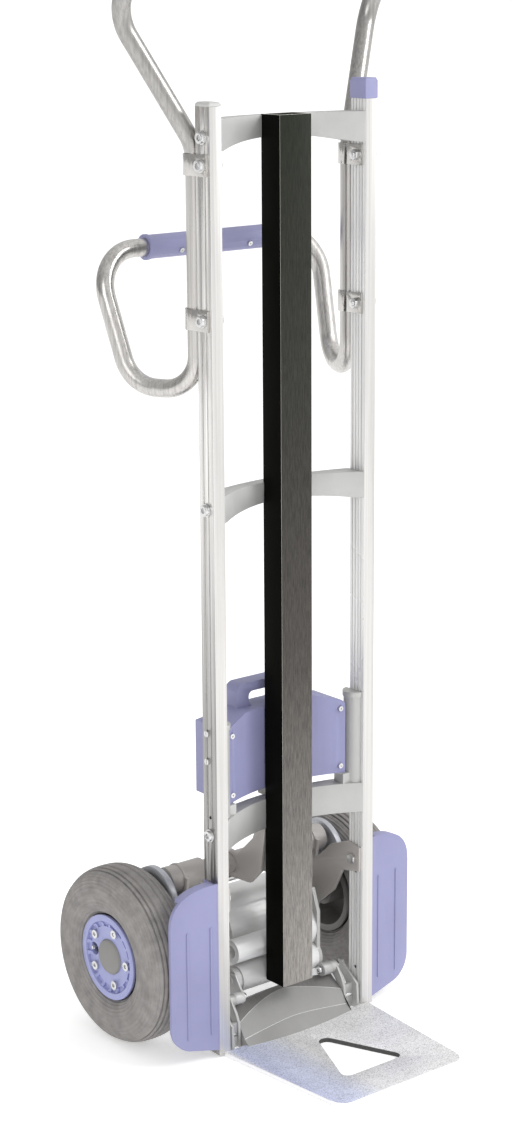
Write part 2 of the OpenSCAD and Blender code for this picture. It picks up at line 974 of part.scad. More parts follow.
// channel brackets that lean back from the toe plate to the drive
module foot_brackets() {
    color(cast) placed() both()
        difference() {
            union() {
                plate_x(97, 101)
                    union() {
                        polygon([[9, 1], [21, 1], [22, 30], [30, 44], [44, 58], [42, 68],
                            [33, 70.4], [26, 63], [17, 50], [11, 37]]);
                        translate([36, 62])
                            circle(r = 9);
                    }
                plate_x(115, 119)
                    polygon([[1, 1], [21, 1], [22, 28], [32, 42], [46, 56], [44, 66],
                        [36, 66], [33, 61], [17, 50], [3, 39.5]]);
                translate([98, 13, 1])
                    cube([20, 4, 37]);
                translate([116, 6, 8])
                    cube([rail_in - 116, 20, 24]);
                rod_x(9, 90, 99, 36, 62);
            }
            rod_x(4.1, 80, 102, 36, 62);
            rod_x(4.1, 90, rail_in + 1, bolt_y, 20);
        }
}

module bracket_bolts() {
    color(steel) placed() both() {
        rod_x(4, 76, 105, 36, 62);
        difference() {
            rod_x(5.6, 69, 74, 36, 62);
            hex_x(3, 68, 71, 36, 62);
        }
        rod_x(4, 74, 76, 36, 62);
        hex_x(7, 101, 106, 36, 62);
        rod_x(4, rail_in - 5, half_w, bolt_y, 231);
        rod_x(8, half_w, half_w + 4, bolt_y, 231);
        hex_x(7.5, rail_in - 11, rail_in - 5, bolt_y, 231);
    }
}

module main_axle() {
    color(steel) placed() {
        rod_x(axle_r, -track - 24, track + 24, axle_y, axle_z);
        both() {
            rod_x(14, track + 20.5, track + 22, axle_y, axle_z);
            hex_x(13, track + 22, track + 28, axle_y, axle_z);
        }
    }
}

// lifting arm: hub on the axle, arm plate and the boss for the support wheel
module lift_arm(inner) {
    difference() {
        union() {
            rod_x(17, inner, 149, axle_y, axle_z);
            rod_x(22, 145, 149, axle_y, axle_z);
            plate_x(145, 149)
                polygon([[axle_y - 19, axle_z], [axle_y + 19, axle_z],
                    [support_y + 13, support_z], [support_y - 13, support_z]]);
            rod_x(13, 145, 149, support_y, support_z);
        }
        rod_x(axle_r + run_fit, inner - 1, 150, axle_y, axle_z);
        rod_x(6, 140, 150, support_y, support_z);
    }
}

module left_lift_arm() {
    color(alu) placed() side(-1) lift_arm(58);
}

module right_lift_arm() {
    color(alu) placed() {
        lift_arm(31);
        difference() {
            gear_x(gear_r, 35, 34, 51, axle_y, axle_z);
            rod_x(17, 33, 52, axle_y, axle_z);
        }
    }
}

module lift_tie_rod() {
    color(steel) placed() {
        rod_x(6, -158, 158, support_y, support_z);
        both() rod_x(9, 158, 159.4, support_y, support_z);
    }
}

module support_wheel() {
    r = support_d / 2;
    translate([149.6, support_y, support_z])
        rotate([0, 90, 0])
            difference() {
                union() {
                    cylinder(r = r, h = 9);
                    cylinder(r = r - 1, h = 9.4);
                }
                translate([0, 0, -1])
                    cylinder(r = 6 + run_fit, h = 12);
                translate([0, 0, 8])
                    cylinder(r = 10, h = 2);
                translate([0, 0, 7.4])
                    ring(r - 9, 14, 3);
                for (k = [0:4])
                    rotate([0, 0, k * 72])
                        translate([27, 0, -1])
                            cylinder(r = 5, h = 12);
            }
}

module left_support_wheel() {
    color(alu) placed() side(-1) support_wheel();
}

module right_support_wheel() {
    color(alu) placed() support_wheel();
}

// wheel pieces are drawn about the wheel's own axis, outside towards +Z
module on_wheel(s) {
    placed() side(s)
        translate([track, axle_y, axle_z])
            rotate([0, 90, 0])
                children();
}

// tyre wall at angle a round its section, with tread grooves
function tyre_pt(a, k) = let (hw = tyre_w / 2, hh = (tyre_r - 58) / 2, rc = tyre_r - hh,
    c = cos(a), s = sin(a))
    [rc + (hh - k) * sign(s) * pow(abs(s), 0.8), (hw - k) * sign(c) * pow(abs(c), 0.7)];
function groove(a) = (a > 51 && a < 129 && (floor((a - 51) / 6) % 2 == 1)) ? 2.2 : 0;

module tyre() {
    n = 60;
    rotate_extrude()
        difference() {
            polygon([for (i = [0:n * 2 - 1])
                let (a = -88 + 3 * i, g = groove(a))
                if (a <= 268) tyre_pt(a, g)]);
            polygon([for (i = [0:30]) let (a = -60 + 10 * i) tyre_pt(a, 9)]);
            translate([50, -26])
                square([24, 52]);
        }
}

module left_tyre() {
    color(rubber) on_wheel(-1) tyre();
}

module right_tyre() {
    color(rubber) on_wheel(1) tyre();
}

bolt_ang = [for (k = [0:4]) 55.4 + k * 72];
valve_ang = 91.4;

module rim() {
    difference() {
        union() {
            rotate_extrude()
                polygon([[15, -30], [15, 22], [26, 24], [44, 24], [52, 26], [53, 31],
                    [62, 31], [62, 27], [58, 26], [56, 8], [56, -8], [58, -26], [62, -27],
                    [62, -31], [53, -31], [52, -26], [52, 14], [49.5, 18], [24, 18],
                    [21, 14], [21, -30]]);
            difference() {
                rotate_extrude()
                    polygon([[26, 24], [52, 24], [52, 30], [48, 27], [26, 27]]);
                for (k = [0:17])
                    rotate([0, 0, k * 20 + 10])
                        translate([44.5, -5.9, 24.6])
                            cube([8.2, 11.8, 8]);
            }
        }
        for (a = bolt_ang)
            rotate([0, 0, a])
                translate([41, 0, 10])
                    cylinder(r = 4.1, h = 30);
        rotate([0, 0, valve_ang])
            translate([37.5, 0, 10])
                cylinder(r = 9.5, h = 30);
    }
    difference() {
        translate([0, 0, -34])
            cylinder(r = 15, h = 53);
        translate([0, 0, -35])
            cylinder(r = axle_r + run_fit, h = 60);
    }
}

module left_rim() {
    color(blue) on_wheel(-1) rim();
}

module right_rim() {
    color(blue) on_wheel(1) rim();
}

module rim_bolts() {
    for (a = bolt_ang)
        rotate([0, 0, a])
            translate([41, 0, 0]) {
                translate([0, 0, 12])
                    cylinder(r = 4, h = 15);
                translate([0, 0, 27])
                    difference() {
                        cylinder(r = 6.4, h = 3.6);
                        translate([0, 0, 1.4])
                            cylinder(r = 3.2, h = 3, $fn = 6);
                    }
                translate([0, 0, 12])
                    cylinder(r = 7, h = 6, $fn = 6);
            }
    rotate([0, 0, valve_ang])
        translate([42, 0, 6]) {
            cylinder(r = 3, h = 20);
            cylinder(r = 2.2, h = 22);
            translate([0, -3, 0])
                cube([9.95, 6, 6]);
        }
}

module left_rim_bolts() {
    color(steel) on_wheel(-1) rim_bolts();
}

module right_rim_bolts() {
    color(steel) on_wheel(1) rim_bolts();
}

module hub_cap() {
    rotate_extrude()
        polygon([[0, 30], [0, 33], [14, 32.6], [24, 30], [26, 27], [24, 24], [22.5, 24],
            [22.5, 29]]);
}

module left_hub_cap() {
    color(dark) on_wheel(-1) hub_cap();
}

module right_hub_cap() {
    color(dark) on_wheel(1) hub_cap();
}

left_upright();
right_upright();
left_end_cap();
right_end_cap();
top_crossbar();
middle_crossbar();
lower_crossbar();
crossbar_bolts();
centre_bar();
centre_bar_screws();
left_handle_tube();
right_handle_tube();
grip_sleeve();
sleeve_screws();
left_hand_grip();
right_hand_grip();
tube_clamps();
clamp_bolts();
switch_housing();
rocker_switch();
power_button();
toe_plate();
toe_plate_bolts();
left_wheel_guard();
right_wheel_guard();
guard_screws();
left_battery_guide();
right_battery_guide();
guide_screws();
battery_dock();
gearbox_housing();
gearbox_cover();
gearbox_screws();
motor_casing();
motor_shaft();
idler_gear();
stay_tube();
stay_hangers();
left_axle_bracket();
right_axle_bracket();
foot_brackets();
bracket_bolts();
main_axle();
left_lift_arm();
right_lift_arm();
lift_tie_rod();
left_support_wheel();
right_support_wheel();
battery_case();
battery_cells();
battery_screws();
battery_release();
left_tyre();
right_tyre();
left_rim();
right_rim();
left_rim_bolts();
right_rim_bolts();
left_hub_cap();
right_hub_cap();
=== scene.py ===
"""Looks of the electric stair-climbing hand truck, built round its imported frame.

Metres, +Z up, load side towards -Y. Every CAD node is shown either as itself with a
procedural material, or through a piece made here that stands for it.
"""
import json
import math

import bmesh
import bpy
from mathutils import Matrix, Vector

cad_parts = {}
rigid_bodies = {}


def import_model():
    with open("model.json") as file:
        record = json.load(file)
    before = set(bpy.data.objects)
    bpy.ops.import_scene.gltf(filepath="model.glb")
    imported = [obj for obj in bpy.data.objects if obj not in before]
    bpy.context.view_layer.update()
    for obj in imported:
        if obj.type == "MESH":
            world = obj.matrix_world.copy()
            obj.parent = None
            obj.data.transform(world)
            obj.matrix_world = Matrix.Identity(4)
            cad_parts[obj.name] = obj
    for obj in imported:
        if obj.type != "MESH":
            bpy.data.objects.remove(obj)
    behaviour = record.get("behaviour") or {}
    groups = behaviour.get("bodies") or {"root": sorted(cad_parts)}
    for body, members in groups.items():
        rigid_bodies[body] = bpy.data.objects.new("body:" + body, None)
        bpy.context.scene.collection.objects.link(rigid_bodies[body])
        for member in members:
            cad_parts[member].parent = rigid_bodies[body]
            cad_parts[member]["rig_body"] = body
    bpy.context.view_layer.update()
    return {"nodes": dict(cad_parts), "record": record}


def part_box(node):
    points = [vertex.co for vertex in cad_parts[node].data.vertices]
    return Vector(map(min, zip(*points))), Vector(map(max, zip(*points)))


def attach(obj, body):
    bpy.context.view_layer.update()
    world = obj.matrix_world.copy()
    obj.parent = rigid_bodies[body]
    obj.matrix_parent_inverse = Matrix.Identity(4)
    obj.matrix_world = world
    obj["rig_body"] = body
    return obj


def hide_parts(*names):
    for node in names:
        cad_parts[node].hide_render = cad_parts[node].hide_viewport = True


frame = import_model()

NODES = frame["nodes"]
SLOT_OF = {s["node"]: s["material_slot"] for s in frame["record"]["subparts"]}


# ---------------------------------------------------------------- materials

WHITE = (1.0, 1.0, 1.0)
# the Mix node's colour sockets, which share their names with its other sockets
MIX_A, MIX_B, MIX_RESULT = 6, 7, 2
# most of a noise's values lie between these
NOISE_LOW, NOISE_HIGH = 0.3, 0.7
COAT_ROUGHNESS = 0.15


class Shader:
    """A Principled material whose detail comes from noise in the piece's own space."""

    def __init__(self, name, metallic=0.0, coat=0.0, specular=0.5):
        self.material = bpy.data.materials.new(name)
        self.material.use_nodes = True
        self.tree = self.material.node_tree
        self.bsdf = self.tree.nodes["Principled BSDF"]
        self.bsdf.inputs["Metallic"].default_value = metallic
        self.bsdf.inputs["Coat Weight"].default_value = coat
        self.bsdf.inputs["Coat Roughness"].default_value = COAT_ROUGHNESS
        self.bsdf.inputs["Specular IOR Level"].default_value = specular
        self.place = self.tree.nodes.new("ShaderNodeTexCoord").outputs["Object"]
        self.normal = None

    def noise(self, scale, detail=4.0, roughness=0.55):
        """Noise with its own scale along X, Y and Z, so that streaks can be drawn out."""
        stretch = self.tree.nodes.new("ShaderNodeMapping")
        stretch.inputs["Scale"].default_value = scale
        self.tree.links.new(self.place, stretch.inputs["Vector"])
        node = self.tree.nodes.new("ShaderNodeTexNoise")
        node.inputs["Scale"].default_value = 1.0
        node.inputs["Detail"].default_value = detail
        node.inputs["Roughness"].default_value = roughness
        self.tree.links.new(stretch.outputs["Vector"], node.inputs["Vector"])
        return node.outputs["Fac"]

    def along(self, axis, low, high):
        """0 to 1 as the place on the piece goes from low to high along X, Y or Z."""
        parts = self.tree.nodes.new("ShaderNodeSeparateXYZ")
        self.tree.links.new(self.place, parts.inputs["Vector"])
        share = self.tree.nodes.new("ShaderNodeMapRange")
        share.inputs["From Min"].default_value = low
        share.inputs["From Max"].default_value = high
        self.tree.links.new(parts.outputs[axis], share.inputs["Value"])
        return share.outputs["Result"]

    def ramp(self, source, stops):
        """The source's values turned into colours, with stops of (value, colour)."""
        node = self.tree.nodes.new("ShaderNodeValToRGB")
        while len(node.color_ramp.elements) < len(stops):
            node.color_ramp.elements.new(0.5)
        for element, (place, colour) in zip(node.color_ramp.elements, stops):
            element.position = place
            element.color = (*colour, 1.0)
        self.tree.links.new(source, node.inputs["Fac"])
        return node.outputs["Color"]

    def blend(self, share, a, b):
        """Colour a multiplied by colour b, in full at a share of 1."""
        node = self.tree.nodes.new("ShaderNodeMix")
        node.data_type = "RGBA"
        node.blend_type = "MULTIPLY"
        node.inputs["Factor"].default_value = share
        self.tree.links.new(a, node.inputs[MIX_A])
        self.tree.links.new(b, node.inputs[MIX_B])
        return node.outputs[MIX_RESULT]

    def colour(self, source):
        self.tree.links.new(source, self.bsdf.inputs["Base Color"])

    def roughness(self, source, low, high):
        """Roughness from low to high as the noise goes through its usual range."""
        node = self.tree.nodes.new("ShaderNodeMapRange")
        node.inputs["From Min"].default_value = NOISE_LOW
        node.inputs["From Max"].default_value = NOISE_HIGH
        node.inputs["To Min"].default_value = low
        node.inputs["To Max"].default_value = high
        self.tree.links.new(source, node.inputs["Value"])
        self.tree.links.new(node.outputs["Result"], self.bsdf.inputs["Roughness"])

    def bump(self, source, strength, depth):
        """Relief of the given depth in metres, on top of any relief there is already."""
        node = self.tree.nodes.new("ShaderNodeBump")
        node.inputs["Strength"].default_value = strength
        node.inputs["Distance"].default_value = depth
        self.tree.links.new(source, node.inputs["Height"])
        if self.normal is not None:
            self.tree.links.new(self.normal, node.inputs["Normal"])
        self.normal = node.outputs["Normal"]
        self.tree.links.new(self.normal, self.bsdf.inputs["Normal"])


def tinted(colour, change):
    """The colour made lighter or darker by a factor, and no lighter than full."""
    return tuple(min(1.0, c * change) for c in colour)


def grained(name, colour, grain, rough, metallic=0.0, depth=0.0002, spread=0.08,
            patch=6.0, coat=0.0, wear=0.25, specular=0.5):
    """Moulded or cast surface: fine grain, broad uneven patches and light scuffs."""
    s = Shader(name, metallic, coat, specular)
    fine = s.noise((grain,) * 3, 3.0)
    broad = s.noise((patch,) * 3, 5.0)
    scuff = s.noise((90.0, 90.0, 22.0), 6.0, 0.75)
    base = s.ramp(broad, [(NOISE_LOW, tinted(colour, 1 - spread)),
                          (NOISE_HIGH, tinted(colour, 1 + spread))])
    marks = s.ramp(scuff, [(0.0, WHITE), (0.68, WHITE), (0.74, (0.72,) * 3)])
    s.colour(s.blend(wear, base, marks))
    s.roughness(broad, *rough)
    s.bump(fine, 0.5, depth)
    return s.material


def brushed(name, colour, stretch, rough, spread=0.10, metallic=1.0, depth=0.00006):
    """Metal drawn or brushed along one axis, with a few handling marks."""
    s = Shader(name, metallic)
    streak = s.noise(stretch, 6.0, 0.65)
    broad = s.noise((5.0,) * 3, 4.0)
    marks = s.noise((70.0, 70.0, 25.0), 8.0, 0.8)
    base = s.ramp(streak, [(0.25, tinted(colour, 1 - spread)),
                           (0.75, tinted(colour, 1 + spread))])
    dull = s.ramp(marks, [(0.0, WHITE), (0.64, WHITE), (0.72, (0.75,) * 3)])
    s.colour(s.blend(0.35, base, dull))
    s.roughness(broad, *rough)
    s.bump(streak, 0.35, depth)
    return s.material


# scales of the brushing along X, Y and Z: drawn out upwards, or the same all round
ALONG_Z = (420.0, 420.0, 3.0)
EVEN = (260.0, 260.0, 260.0)
BLUE = (0.268, 0.270, 0.452)
RAIL_METAL = (0.62, 0.61, 0.595)
TUBE_METAL = (0.56, 0.545, 0.525)

MATERIALS = {
    "rail_aluminium": brushed("rail_aluminium", RAIL_METAL, ALONG_Z, (0.28, 0.44), 0.16),
    "polished_tube": brushed("polished_tube", TUBE_METAL, EVEN, (0.16, 0.28), 0.08),
    "zinc_steel": brushed("zinc_steel", (0.66, 0.66, 0.66), EVEN, (0.18, 0.34)),
    "light_alloy": brushed("light_alloy", (0.46, 0.47, 0.50), EVEN, (0.42, 0.58),
                           0.08, 0.5),
    "cast_aluminium": grained("cast_aluminium", (0.50, 0.50, 0.49), 620.0, (0.45, 0.62),
                              0.45, 0.0006, 0.10, 9.0),
    "grey_plastic": grained("grey_plastic", (0.52, 0.52, 0.51), 1400.0, (0.45, 0.6)),
    "blue_plastic": grained("blue_plastic", BLUE, 1300.0, (0.40, 0.56), wear=0.18),
    "black_plastic": grained("black_plastic", (0.245, 0.240, 0.230), 1300.0, (0.45, 0.62)),
    "grip_rubber": grained("grip_rubber", (0.13, 0.125, 0.12), 900.0, (0.7, 0.9),
                           depth=0.0004),
    "red_plastic": grained("red_plastic", (0.42, 0.10, 0.09), 1300.0, (0.28, 0.4),
                           coat=0.2),
    "green_plastic": grained("green_plastic", (0.12, 0.34, 0.17), 1300.0, (0.28, 0.4),
                             coat=0.2),
    "cell_wrap": grained("cell_wrap", (0.20, 0.42, 0.30), 900.0, (0.3, 0.45)),
    "dark_steel": grained("dark_steel", (0.44, 0.415, 0.395), 800.0, (0.38, 0.55), 0.2),
    "tyre_rubber": grained("tyre_rubber", (0.262, 0.248, 0.240), 650.0, (0.66, 0.88),
                           depth=0.0006, spread=0.22, patch=60.0, wear=0.5),
    "blue_rim": grained("blue_rim", (0.325, 0.345, 0.600), 900.0, (0.30, 0.46), 0.1,
                        coat=0.15),
}


def drawn(name, metallic, colour, node, light_and_shade_levels):
    """Drawn aluminium streaked along its length, lighter and darker with height as painted
    light and shade.
    """
    s = Shader(name, metallic)
    low, high = (corner.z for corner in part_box(node))
    painted_light_tone = s.ramp(s.along("Z", low, high), [(k, tinted(colour, v)) for k, v in light_and_shade_levels])
    streak = s.noise((300.0, 300.0, 3.0), 6.0, 0.7)
    lines = s.ramp(streak, [(0.36, (0.62,) * 3), (0.60, WHITE)])
    s.colour(s.blend(0.8, painted_light_tone, lines))
    s.roughness(s.noise((7.0,) * 3), 0.22, 0.40)
    s.bump(streak, 0.35, 0.00006)
    return s.material


def bar_coat_with_painted_reflection():
    """Brushed dark coat of the centre bar's face, with a painted reflection of the floor
    and toe plate that makes it paler towards its foot.
    """
    s = Shader("dark_bar", 0.15, specular=0.2)
    low, high = (corner.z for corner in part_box("centre_bar"))
    # painted reflection of the floor and toe plate: darkest high up, paler down towards the
    # foot
    painted_light_tone = s.ramp(s.along("Z", low, high), [
        (0.0, (0.400, 0.375, 0.345)), (0.16, (0.232, 0.218, 0.198)),
        (0.38, (0.088, 0.078, 0.070)), (0.66, (0.040, 0.039, 0.033)),
        (1.0, (0.018, 0.021, 0.013))])
    streak = s.noise((520.0, 520.0, 40.0), 8.0, 0.8)
    strokes = s.ramp(streak, [(0.38, (0.42, 0.42, 0.44)), (0.60, WHITE)])
    s.colour(s.blend(1.0, painted_light_tone, strokes))
    s.roughness(s.noise((6.0,) * 3), 0.34, 0.52)
    s.bump(streak, 0.4, 0.00008)
    return s.material


def toe_top():
    """Trodden casting: bright speckle, a scraped border and a painted blue reflection on
    the left.
    """
    s = Shader("toe_speckle", 0.35)
    speckle = s.ramp(s.noise((520.0,) * 3, 8.0, 0.8),
                     [(0.40, (0.44,) * 3), (0.50, (0.88,) * 3), (0.60, WHITE)])
    low, high = (corner.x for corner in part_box("toe_plate"))
    # painted blue reflection across the left part of the top
    cast = s.ramp(s.along("X", low, high), [
        (0.0, (0.98, 0.98, 1.0)), (0.05, (0.72, 0.76, 1.0)), (0.22, (0.79, 0.83, 1.0)),
        (0.36, (0.97, 0.97, 0.98)), (1.0, WHITE)])
    scraped = s.ramp(s.noise((9.0, 26.0, 9.0), 7.0, 0.7),
                     [(0.35, (0.90,) * 3), (0.60, WHITE)])
    s.colour(s.blend(1.0, s.blend(1.0, speckle, cast), scraped))
    s.roughness(s.noise((14.0,) * 3), 0.40, 0.62)
    s.bump(s.noise((520.0,) * 3, 6.0), 0.5, 0.0005)
    return s.material


MATERIALS["dark_bar"] = bar_coat_with_painted_reflection()
BAR_SIDE = grained("bar_gloss_black", (0.004, 0.004, 0.0035), 1200.0, (0.30, 0.42),
                   depth=0.00005, spread=0.3, wear=0.0, specular=0.01)
# the bar's broken edges and ends are painted pale as highlights
BAR_PAINTED_HIGHLIGHT = brushed("bar_painted_highlight_edge", (0.70, 0.68, 0.63), ALONG_Z, (0.3, 0.45), 0.3, 0.4)
TOE_TOP = toe_top()
# the bright edge colour also goes on the strips along the heel's creases, where it is a
# painted highlight
TOE_EDGE = brushed("toe_bright_edge", (0.92, 0.92, 0.92), EVEN, (0.35, 0.5), 0.05, 0.3)
TOE_HEEL = grained("toe_heel_cast", (0.315, 0.312, 0.305), 620.0, (0.5, 0.7), 0.1, 0.0007,
                   0.12, 11.0)
TOE_LEDGE = grained("toe_heel_ledge", (0.21, 0.205, 0.20), 620.0, (0.5, 0.7), 0.1, 0.0007,
                    0.12, 11.0)
# the gearbox housing and motor are the casting made lighter than cast_aluminium, as painted
# light against the shade they sit in
DRIVE_CAST = grained("drive_casting", (0.82, 0.82, 0.815), 620.0, (0.40, 0.56), 0.3, 0.0005,
                     0.10, 9.0)
MOTOR_CAST = grained("motor_casting", (0.60, 0.595, 0.59), 620.0, (0.40, 0.56), 0.3, 0.0005,
                     0.10, 9.0)
# painted light and shade by height: the rails' outer side dark low down with a painted
# highlight band about two thirds up, their inner side a little darker at the top, and the
# handle tube darker towards its top
RAIL_SIDE = drawn("rail_outer_side", 1.0, RAIL_METAL, "left_upright",
                  [(0.0, 0.66), (0.36, 0.68), (0.47, 0.90), (0.68, 1.45), (1.0, 1.15)])
RAIL_INNER = drawn("rail_inner_side", 0.2, (0.97, 0.97, 0.965), "left_upright",
                   [(0.0, 1.0), (1.0, 0.9)])
TUBE = drawn("handle_tube_metal", 1.0, TUBE_METAL, "left_handle_tube",
             [(0.0, 1.1), (0.40, 1.0), (0.55, 0.80), (1.0, 0.68)])
# the rails' broken corners are painted dark grey as a painted dark reflection along the
# edges
RAIL_EDGE = brushed("rail_dark_edge", (0.30, 0.295, 0.29), ALONG_Z, (0.35, 0.5), 0.2)
# painted shade: the window's wall and the downward faces, whose lower chamfers draw a
# painted shadow line along the plate's foot
TOE_PAINTED_SHADE = grained("toe_painted_shade", (0.06, 0.06, 0.058), 900.0, (0.6, 0.8), 0.1)
# painted shade: the rims' inner half and inward faces, dark grey over the blue
RIM_PAINTED_SHADE = grained("rim_painted_shade", (0.22, 0.21, 0.20), 700.0, (0.5, 0.7), 0.2)


# ------------------------------------------------------------------- pieces

WELD = 1e-6               # corners closer than this, in metres, are one corner
FLAT_WITHIN = 0.4         # degrees between faces that count as one flat face
SHARP_FROM = 32.0         # degrees between faces from which an edge is broken
BEVEL_SEGMENTS = 2


def show(bm, name, node):
    """A new smooth-shaded piece from bm, with the material of the node's slot."""
    mesh = bpy.data.meshes.new(name)
    bm.to_mesh(mesh)
    bm.free()
    piece = bpy.data.objects.new(name, mesh)
    bpy.context.scene.collection.objects.link(piece)
    mesh.materials.append(MATERIALS[SLOT_OF[node]])
    mesh.shade_smooth()
    return piece


def settle(piece, node):
    """Has the piece move with the node's body and stand for the node."""
    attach(piece, NODES[node]["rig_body"])
    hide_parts(node)
    return piece


def rounded(node, width, angle):
    """The node's shape with its sharp edges broken, as machining or moulding leaves them.

    Known fault: the bevel leaves one flat face of left_axle_bracket, at x = -0.119, with
    triangles that overlap and close over the hole for the arm's sleeve.
    """
    bm = bmesh.new()
    bm.from_mesh(NODES[node].data)
    bmesh.ops.remove_doubles(bm, verts=bm.verts, dist=WELD)
    bmesh.ops.dissolve_limit(bm, angle_limit=math.radians(FLAT_WITHIN), verts=bm.verts,
                             edges=bm.edges)
    piece = show(bm, node + "_finished", node)
    bevel = piece.modifiers.new("edge", "BEVEL")
    bevel.width = width
    bevel.segments = BEVEL_SEGMENTS
    bevel.limit_method = "ANGLE"
    bevel.angle_limit = math.radians(angle)
    bevel.harden_normals = True
    graph = bpy.context.evaluated_depsgraph_get()
    piece.data = bpy.data.meshes.new_from_object(piece.evaluated_get(graph))
    piece.modifiers.clear()
    return settle(piece, node)


# broken-edge width in metres for each kind of part
EDGE = {
    0.0015: ["left_wheel_guard", "right_wheel_guard", "battery_case"],
    0.0018: ["centre_bar"],
    0.0012: ["left_end_cap", "right_end_cap", "toe_plate", "switch_housing",
             "top_crossbar", "middle_crossbar", "lower_crossbar"],
    0.0008: ["left_upright", "right_upright", "gearbox_housing", "gearbox_cover",
             "motor_casing", "battery_dock", "left_battery_guide", "right_battery_guide",
             "stay_hangers", "left_axle_bracket", "right_axle_bracket", "foot_brackets",
             "left_rim", "right_rim", "rocker_switch", "left_lift_arm", "grip_sleeve",
             "left_hand_grip", "right_hand_grip", "battery_release"],
    0.0005: ["tube_clamps", "crossbar_bolts", "clamp_bolts", "toe_plate_bolts",
             "bracket_bolts", "left_rim_bolts", "right_rim_bolts", "left_hub_cap",
             "right_hub_cap", "stay_tube", "left_support_wheel", "right_support_wheel",
             "power_button", "main_axle"],
}
# the toe plate's heel has shallow creases that are broken too
CREASE = {"toe_plate": 8.0}
pieces = {node: rounded(node, width, CREASE.get(node, SHARP_FROM))
          for width, group in EDGE.items() for node in group}


def paint(piece, choose, *extra):
    """Gives each face the material that choose returns: 0 is the piece's own."""
    for material in extra:
        piece.data.materials.append(material)
    for face in piece.data.polygons:
        face.material_index = choose(face)


# how much of a normal has to lie along an axis for its face to count as facing that way
BAR_SQUARE, BAR_BACK = 0.95, 0.7
RAIL_SQUARE = 0.93
TOE_UP, TOE_UNDER, LEDGE_TILT = 0.97, -0.2, -0.62
RIM_INWARD = -0.5

# the toe plate, in metres: its thickness, the ledge's height, and the window's room
TOE_THICKNESS, TOE_SLACK = 0.0065, 0.0005
LEDGE_FROM = 0.030
WINDOW_HALF, WINDOW_FRONT, WINDOW_BACK = 0.07, -0.20, -0.07

# strips along the heel's creases: at most this many square metres, and this much along X
CREASE_AREA, CREASE_ALONG = 1.6e-5, 0.6

# the rim's web, in metres outwards from the middle of the tyre
RIM_WEB = 0.0175


def bar_face(face):
    """0 the front, 1 the sides and back, 2 the broken edges and the ends, painted pale as
    highlights.
    """
    if abs(face.normal.x) > BAR_SQUARE or face.normal.y > BAR_BACK:
        return 1
    return 0 if face.normal.y < -BAR_SQUARE else 2


def runs_across(face):
    """True for a narrow strip whose longer sides run along X."""
    mesh = face.id_data
    ends = [mesh.vertices[v].co for v in face.vertices]
    sides = [b - a for a, b in zip(ends, ends[1:] + ends[:1])]
    longest = max(sides, key=lambda side: side.length)
    return (face.area < CREASE_AREA
            and abs(longest.x) > CREASE_ALONG * longest.length)


def toe_face(face):
    """1 the top, 2 edges and the heel's crease strips, the strips painted bright as a
    highlight, 3 the heel, 4 the underside and window's wall, painted near black as shade, 5
    the ledge.
    """
    if face.normal.z < TOE_UNDER:
        return 4
    if face.center.z > TOE_THICKNESS + TOE_SLACK:
        # the heel's crease strips take the bright edge colour as a painted highlight
        if runs_across(face):
            return 2
        ledge = face.center.z > LEDGE_FROM and face.normal.y > LEDGE_TILT
        return 5 if ledge else 3
    if face.normal.z > TOE_UP:
        return 1
    inside = (abs(face.center.x) < WINDOW_HALF
              and WINDOW_FRONT < face.center.y < WINDOW_BACK)
    return 4 if inside else 2


def rail_face(face):
    """0 the front, back and ends, 1 the corners, painted dark as a reflection, 2 the outer
    side, 3 the inner side.
    """
    if max(abs(part) for part in face.normal) < RAIL_SQUARE:
        return 1
    if abs(face.normal.x) < RAIL_SQUARE:
        return 0
    return 2 if face.normal.x * face.center.x > 0 else 3


def rim_face(hub, sign):
    """Chooser for one rim: 1 for what lies behind the web or faces inwards, painted dark as
    shade, else 0.
    """
    def choose(face):
        outward = sign * (face.center.x - hub.x)
        return 1 if outward < RIM_WEB or sign * face.normal.x < RIM_INWARD else 0
    return choose


paint(pieces["gearbox_housing"], lambda face: 1, DRIVE_CAST)
paint(pieces["motor_casing"], lambda face: 1, MOTOR_CAST)
paint(pieces["centre_bar"], bar_face, BAR_SIDE, BAR_PAINTED_HIGHLIGHT)
paint(pieces["toe_plate"], toe_face, TOE_TOP, TOE_EDGE, TOE_HEEL, TOE_PAINTED_SHADE, TOE_LEDGE)
for node in ("left_upright", "right_upright"):
    paint(pieces[node], rail_face, RAIL_EDGE, RAIL_SIDE, RAIL_INNER)
for word, sign in (("left", -1), ("right", 1)):
    low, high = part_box(f"{word}_tyre")
    paint(pieces[f"{word}_rim"], rim_face((low + high) / 2, sign), RIM_PAINTED_SHADE)


TUBE_SIDES = 40
BEND_STEP, FEWEST_STEPS = 3, 4      # degrees to a step round a bend, and steps at least
ACROSS = Vector((0.8, -0.6, 0))     # lies along no stretch of the handle


